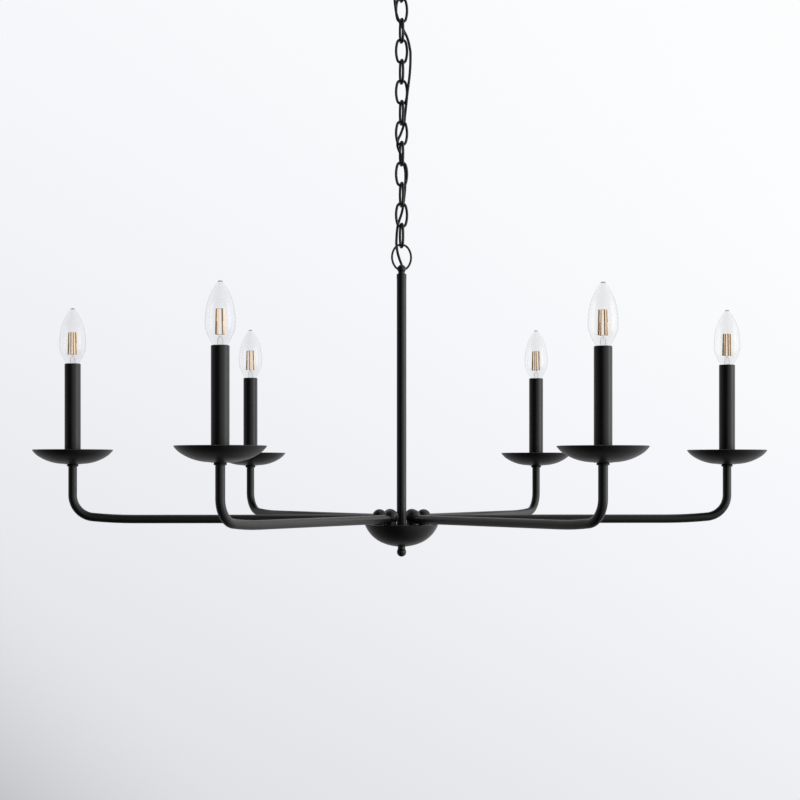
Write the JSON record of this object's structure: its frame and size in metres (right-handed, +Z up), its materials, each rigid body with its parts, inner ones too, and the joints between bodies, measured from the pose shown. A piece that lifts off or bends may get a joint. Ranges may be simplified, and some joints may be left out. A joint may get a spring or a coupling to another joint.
{
  "type": "multi arm chandelier",
  "caption": "Chandelier with curved candle arms, drip pans and clear candle bulbs round a slim stem, hung on a chain with its cord woven through the links.",
  "frame": {"origin": "centre of the canopy's ceiling face", "axes": "+Z up, out of the ceiling face; arm 1 points along +X; the object hangs towards -Z"},
  "size_m": [0.965, 0.8498, 0.823],
  "materials": {
    "powder_coat": "satin black powder coat on steel",
    "zinc_steel": "zinc plated",
    "cord_jacket": "matte black jacket",
    "socket_body": "moulded, cream",
    "cap_plastic": "moulded, orange",
    "bulb_glass": "clear"
  },
  "bodies": {
    "ceiling_mount": {"canopy": "powder_coat", "crossbar": "zinc_steel", "crossbar_nipple": "zinc_steel", "crossbar_nut": "zinc_steel", "canopy_loop": "powder_coat", "ring_nut": "powder_coat", "cord": "cord_jacket"},
    "link_01": {"chain_link_01": "powder_coat"},
    "link_02": {"chain_link_02": "powder_coat"},
    "link_03": {"chain_link_03": "powder_coat"},
    "link_04": {"chain_link_04": "powder_coat"},
    "link_05": {"chain_link_05": "powder_coat"},
    "link_06": {"chain_link_06": "powder_coat"},
    "link_07": {"chain_link_07": "powder_coat"},
    "link_08": {"chain_link_08": "powder_coat"},
    "link_09": {"chain_link_09": "powder_coat"},
    "link_10": {"chain_link_10": "powder_coat"},
    "link_11": {"chain_link_11": "powder_coat"},
    "link_12": {"chain_link_12": "powder_coat"},
    "link_13": {"chain_link_13": "powder_coat"},
    "column": {"stem_loop": "powder_coat", "coupling": "powder_coat", "stem": "powder_coat", "hub_plate": "powder_coat", "hub_bowl": "powder_coat", "hub_nipple": "zinc_steel", "finial": "powder_coat", "hub_nuts": "zinc_steel", "wire_caps": "cap_plastic"},
    "arm_1_assembly": {"arm_1": "powder_coat", "pan_1": "powder_coat", "sleeve_1": "powder_coat", "socket_1": "socket_body"},
    "lamp_1": {"bulb_1": "bulb_glass"},
    "arm_2_assembly": {"arm_2": "powder_coat", "pan_2": "powder_coat", "sleeve_2": "powder_coat", "socket_2": "socket_body"},
    "lamp_2": {"bulb_2": "bulb_glass"},
    "arm_3_assembly": {"arm_3": "powder_coat", "pan_3": "powder_coat", "sleeve_3": "powder_coat", "socket_3": "socket_body"},
    "lamp_3": {"bulb_3": "bulb_glass"},
    "arm_4_assembly": {"arm_4": "powder_coat", "pan_4": "powder_coat", "sleeve_4": "powder_coat", "socket_4": "socket_body"},
    "lamp_4": {"bulb_4": "bulb_glass"},
    "arm_5_assembly": {"arm_5": "powder_coat", "pan_5": "powder_coat", "sleeve_5": "powder_coat", "socket_5": "socket_body"},
    "lamp_5": {"bulb_5": "bulb_glass"},
    "arm_6_assembly": {"arm_6": "powder_coat", "pan_6": "powder_coat", "sleeve_6": "powder_coat", "socket_6": "socket_body"},
    "lamp_6": {"bulb_6": "bulb_glass"}
  },
  "joints": [
    {"name": "link_01_swing", "type": "hinge", "parent": "ceiling_mount", "child": "link_01", "pos_m": [0, 0, -0.067], "axis": [0.9703, 0.2419, 0], "range_deg": [-5, 5], "deforming": ["cord"]},
    {"name": "link_02_swing", "type": "hinge", "parent": "link_01", "child": "link_02", "pos_m": [0, 0, -0.09365], "axis": [-0.2419, 0.9703, 0], "range_deg": [-5, 5]},
    {"name": "link_03_swing", "type": "hinge", "parent": "link_02", "child": "link_03", "pos_m": [0, 0, -0.12055], "axis": [0.9703, 0.2419, 0], "range_deg": [-5, 5]},
    {"name": "link_04_swing", "type": "hinge", "parent": "link_03", "child": "link_04", "pos_m": [0, 0, -0.14745], "axis": [-0.2419, 0.9703, 0], "range_deg": [-5, 5]},
    {"name": "link_05_swing", "type": "hinge", "parent": "link_04", "child": "link_05", "pos_m": [0, 0, -0.17435], "axis": [0.9703, 0.2419, 0], "range_deg": [-5, 5]},
    {"name": "link_06_swing", "type": "hinge", "parent": "link_05", "child": "link_06", "pos_m": [0, 0, -0.20125], "axis": [-0.2419, 0.9703, 0], "range_deg": [-5, 5]},
    {"name": "link_07_swing", "type": "hinge", "parent": "link_06", "child": "link_07", "pos_m": [0, 0, -0.22815], "axis": [0.9703, 0.2419, 0], "range_deg": [-5, 5]},
    {"name": "link_08_swing", "type": "hinge", "parent": "link_07", "child": "link_08", "pos_m": [0, 0, -0.25505], "axis": [-0.2419, 0.9703, 0], "range_deg": [-5, 5]},
    {"name": "link_09_swing", "type": "hinge", "parent": "link_08", "child": "link_09", "pos_m": [0, 0, -0.28195], "axis": [0.9703, 0.2419, 0], "range_deg": [-5, 5]},
    {"name": "link_10_swing", "type": "hinge", "parent": "link_09", "child": "link_10", "pos_m": [0, 0, -0.30885], "axis": [-0.2419, 0.9703, 0], "range_deg": [-5, 5]},
    {"name": "link_11_swing", "type": "hinge", "parent": "link_10", "child": "link_11", "pos_m": [0, 0, -0.33575], "axis": [0.9703, 0.2419, 0], "range_deg": [-5, 5]},
    {"name": "link_12_swing", "type": "hinge", "parent": "link_11", "child": "link_12", "pos_m": [0, 0, -0.36265], "axis": [-0.2419, 0.9703, 0], "range_deg": [-5, 5]},
    {"name": "link_13_swing", "type": "hinge", "parent": "link_12", "child": "link_13", "pos_m": [0, 0, -0.38955], "axis": [0.9703, 0.2419, 0], "range_deg": [-5, 5]},
    {"name": "column_swing", "type": "hinge", "parent": "link_13", "child": "column", "pos_m": [0, 0, -0.41645], "axis": [-0.2419, 0.9703, 0], "range_deg": [-5, 5]},
    {"name": "arm_1_swivel", "type": "hinge", "parent": "column", "child": "arm_1_assembly", "pos_m": [0.0289, 0, -0.78], "axis": [0, 0, 1], "range_deg": [-24, 24]},
    {"name": "bulb_1_lift", "type": "slide", "parent": "arm_1_assembly", "child": "lamp_1", "axis": [0, 0, 1], "range_m": [0, 0.035]},
    {"name": "arm_2_swivel", "type": "hinge", "parent": "column", "child": "arm_2_assembly", "pos_m": [0.01445, 0.02503, -0.78], "axis": [0, 0, 1], "range_deg": [-24, 24]},
    {"name": "bulb_2_lift", "type": "slide", "parent": "arm_2_assembly", "child": "lamp_2", "axis": [0, 0, 1], "range_m": [0, 0.035]},
    {"name": "arm_3_swivel", "type": "hinge", "parent": "column", "child": "arm_3_assembly", "pos_m": [-0.01445, 0.02503, -0.78], "axis": [0, 0, 1], "range_deg": [-24, 24]},
    {"name": "bulb_3_lift", "type": "slide", "parent": "arm_3_assembly", "child": "lamp_3", "axis": [0, 0, 1], "range_m": [0, 0.035]},
    {"name": "arm_4_swivel", "type": "hinge", "parent": "column", "child": "arm_4_assembly", "pos_m": [-0.0289, 0, -0.78], "axis": [0, 0, 1], "range_deg": [-24, 24]},
    {"name": "bulb_4_lift", "type": "slide", "parent": "arm_4_assembly", "child": "lamp_4", "axis": [0, 0, 1], "range_m": [0, 0.035]},
    {"name": "arm_5_swivel", "type": "hinge", "parent": "column", "child": "arm_5_assembly", "pos_m": [-0.01445, -0.02503, -0.78], "axis": [0, 0, 1], "range_deg": [-24, 24]},
    {"name": "bulb_5_lift", "type": "slide", "parent": "arm_5_assembly", "child": "lamp_5", "axis": [0, 0, 1], "range_m": [0, 0.035]},
    {"name": "arm_6_swivel", "type": "hinge", "parent": "column", "child": "arm_6_assembly", "pos_m": [0.01445, -0.02503, -0.78], "axis": [0, 0, 1], "range_deg": [-24, 24]},
    {"name": "bulb_6_lift", "type": "slide", "parent": "arm_6_assembly", "child": "lamp_6", "axis": [0, 0, 1], "range_m": [0, 0.035]}
  ]
}
